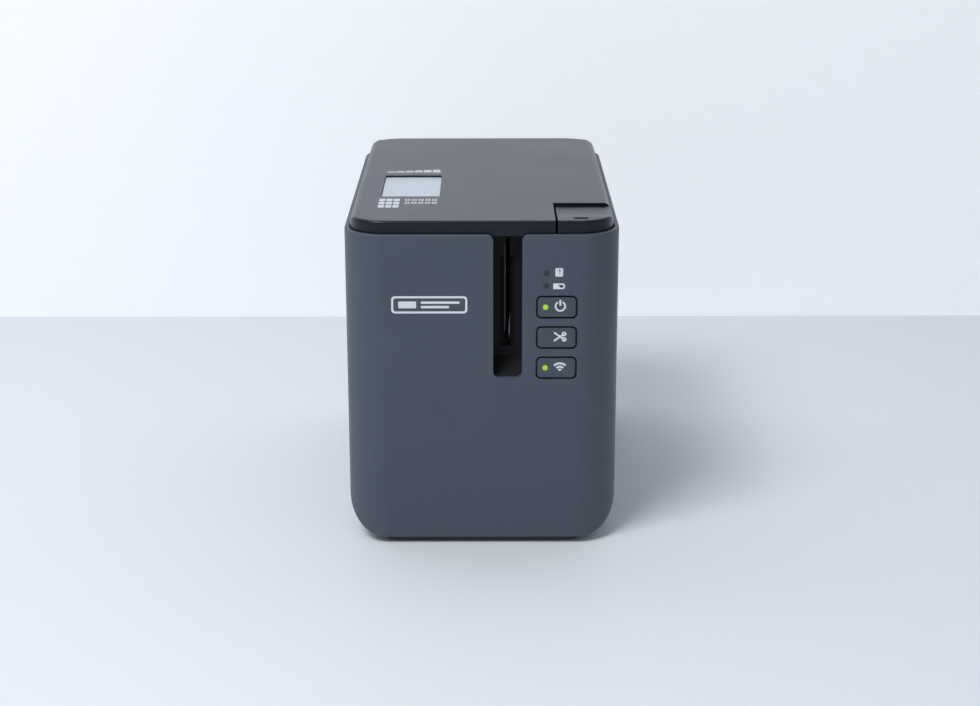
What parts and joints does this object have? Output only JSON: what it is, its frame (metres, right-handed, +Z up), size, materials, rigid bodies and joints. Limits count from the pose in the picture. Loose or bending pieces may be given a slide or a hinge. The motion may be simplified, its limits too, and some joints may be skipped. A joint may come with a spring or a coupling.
{
  "type": "desktop label maker",
  "caption": "Desktop tape label printer: upright rounded case, hinged lid with a window, front tape slot, three keys, geared tape feed and a cutter inside.",
  "frame": {"origin": "middle of the footprint, on the surface it stands on", "axes": "+Z up, front faces -Y, +X to the right seen from the front"},
  "size_m": [0.118, 0.1923, 0.145],
  "materials": {
    "case_grey": "fine matt moulding texture",
    "cover_grey": "semi-gloss",
    "key_grey": "matt",
    "black_plastic": "satin",
    "base_black": "matt",
    "rubber": "soft",
    "window_clear": "clear polycarbonate",
    "lamp_green": "translucent",
    "steel": "plain",
    "plated": "tin plated",
    "aluminium": "extruded",
    "nylon": "natural nylon",
    "board_green": "solder mask",
    "component_black": "moulded",
    "ribbon_cable": "flat flexible cable",
    "cassette_plastic": "matt",
    "label_stock": "laminated",
    "ink_ribbon": "film"
  },
  "bodies": {
    "case": {"body_shell": "case_grey", "base_plate": "base_black", "rubber_feet": "rubber", "case_screws": "steel", "rear_panel": "base_black", "cassette_bay": "black_plastic", "exit_chute": "black_plastic", "status_lenses": "window_clear", "key_board": "board_green", "key_board_posts": "nylon", "key_switches": "component_black", "indicator_lamps": "lamp_green", "key_cable": "ribbon_cable", "main_board": "board_green", "board_parts": "component_black", "dc_inlet": "component_black", "usb_sockets": "plated", "lan_socket": "plated", "serial_socket": "component_black", "mechanism_plate": "steel", "pivot_pins": "steel", "feed_motor": "plated", "print_head": "component_black", "head_heat_sink": "aluminium", "cutter_frame": "steel", "fixed_blade": "steel", "cutter_motor": "plated", "cassette_case": "cassette_plastic", "cassette_lid": "cassette_plastic", "cassette_label": "label_stock", "release_spring": "steel"},
    "cover": {"top_cover": "cover_grey", "cover_window": "window_clear", "cover_liner": "black_plastic", "cover_catch": "black_plastic", "hinge_pins": "steel", "cover_screws": "steel"},
    "release_button_body": {"release_button": "cover_grey"},
    "latch": {"latch_lever": "black_plastic"},
    "power_key": {"power_button": "key_grey", "power_lens": "lamp_green"},
    "cut_key": {"cut_button": "key_grey"},
    "wireless_key": {"wireless_button": "key_grey", "wireless_lens": "lamp_green"},
    "holder": {"roller_holder": "black_plastic"},
    "platen": {"platen_roller": "rubber", "platen_shaft": "steel"},
    "pressure": {"pressure_roller": "rubber"},
    "idler": {"drive_idler": "nylon"},
    "tape_spindle": {"tape_drive_spindle": "nylon", "cassette_drive_roller": "rubber"},
    "ribbon_spindle": {"ribbon_drive_spindle": "nylon", "ribbon_takeup_spool": "ink_ribbon"},
    "feed_pinion": {"motor_pinion": "nylon"},
    "tape_supply": {"tape_roll": "label_stock"},
    "ribbon_supply": {"ribbon_supply_roll": "ink_ribbon"},
    "blade": {"moving_blade": "steel"},
    "cam": {"cutter_cam_gear": "nylon"},
    "knife_pinion": {"cutter_pinion": "nylon"}
  },
  "joints": [
    {"name": "cover_hinge", "type": "hinge", "parent": "case", "child": "cover", "pos_m": [0, 0.0908, 0.1398], "axis": [-1, 0, 0], "range_deg": [0, 100]},
    {"name": "release_press", "type": "slide", "parent": "case", "child": "release_button_body", "axis": [0, 0, -1], "range_m": [0, 0.002], "stiffness_N_per_m": 400, "springref_m": -0.002, "deforming": ["release_spring"]},
    {"name": "latch_pivot", "type": "hinge", "parent": "case", "child": "latch", "pos_m": [0.0442, -0.063, 0.116], "axis": [1, 0, 0], "range_deg": [0, 15.5]},
    {"name": "power_press", "type": "slide", "parent": "case", "child": "power_key", "axis": [0, 1, 0], "range_m": [0, 0.0005], "stiffness_N_per_m": 1200, "springref_m": -0.0005},
    {"name": "cut_press", "type": "slide", "parent": "case", "child": "cut_key", "axis": [0, 1, 0], "range_m": [0, 0.0005], "stiffness_N_per_m": 1200, "springref_m": -0.0005},
    {"name": "wireless_press", "type": "slide", "parent": "case", "child": "wireless_key", "axis": [0, 1, 0], "range_m": [0, 0.0005], "stiffness_N_per_m": 1200, "springref_m": -0.0005},
    {"name": "holder_swing", "type": "hinge", "parent": "case", "child": "holder", "pos_m": [0.024, 0.008, 0.108], "axis": [0, 0, 1], "range_deg": [0, 5]},
    {"name": "idler_spin", "type": "hinge", "parent": "case", "child": "idler", "pos_m": [-0.00303, -0.02569, 0.0805], "axis": [0, 0, 1], "continuous": true},
    {"name": "tape_spindle_spin", "type": "hinge", "parent": "case", "child": "tape_spindle", "pos_m": [0.00655, -0.052, 0.0805], "axis": [0, 0, 1], "continuous": true},
    {"name": "ribbon_spindle_spin", "type": "hinge", "parent": "case", "child": "ribbon_spindle", "pos_m": [-0.02623, -0.03651, 0.0805], "axis": [0, 0, 1], "continuous": true},
    {"name": "feed_pinion_spin", "type": "hinge", "parent": "case", "child": "feed_pinion", "pos_m": [0.01499, -0.01529, 0.0805], "axis": [0, 0, 1], "continuous": true},
    {"name": "platen_spin", "type": "hinge", "parent": "holder", "child": "platen", "pos_m": [0.0166, -0.025, 0.108], "axis": [0, 0, 1], "continuous": true},
    {"name": "pressure_spin", "type": "hinge", "parent": "holder", "child": "pressure", "pos_m": [0.0153, -0.052, 0.108], "axis": [0, 0, 1], "continuous": true},
    {"name": "tape_supply_spin", "type": "hinge", "parent": "case", "child": "tape_supply", "pos_m": [-0.026, 0.002, 0.106], "axis": [0, 0, 1], "continuous": true},
    {"name": "ribbon_supply_spin", "type": "hinge", "parent": "case", "child": "ribbon_supply", "pos_m": [0.0025, 0.01, 0.106], "axis": [0, 0, 1], "continuous": true},
    {"name": "cam_turn", "type": "hinge", "parent": "case", "child": "cam", "pos_m": [0.0125, -0.065, 0.0504], "axis": [0, 1, 0], "range_deg": [0, 80]},
    {"name": "blade_swing", "type": "hinge", "parent": "case", "child": "blade", "pos_m": [0.0125, -0.072, 0.08], "axis": [0, 1, 0], "range_deg": [-17.64, 0]},
    {"name": "knife_pinion_spin", "type": "hinge", "parent": "case", "child": "knife_pinion", "pos_m": [-0.0083, -0.065, 0.0504], "axis": [0, 1, 0], "range_deg": [-267, 0]}
  ],
  "couplings": [
    {"joint": "latch_pivot", "follows": "release_press", "rad_per_m": 132.5},
    {"joint": "holder_swing", "follows": "cover_hinge", "ratio": 0.05},
    {"joint": "tape_spindle_spin", "follows": "idler_spin", "ratio": -1.3333},
    {"joint": "ribbon_spindle_spin", "follows": "idler_spin", "ratio": -1.6667},
    {"joint": "feed_pinion_spin", "follows": "idler_spin", "ratio": -3.3333},
    {"joint": "pressure_spin", "follows": "idler_spin", "ratio": 1.3333},
    {"joint": "platen_spin", "follows": "idler_spin", "ratio": 1.0238},
    {"joint": "tape_supply_spin", "follows": "idler_spin", "ratio": -0.28667},
    {"joint": "ribbon_supply_spin", "follows": "idler_spin", "ratio": -0.71667},
    {"joint": "blade_swing", "follows": "cam_turn", "ratio": -0.21921},
    {"joint": "knife_pinion_spin", "follows": "cam_turn", "ratio": -3.3333}
  ]
}
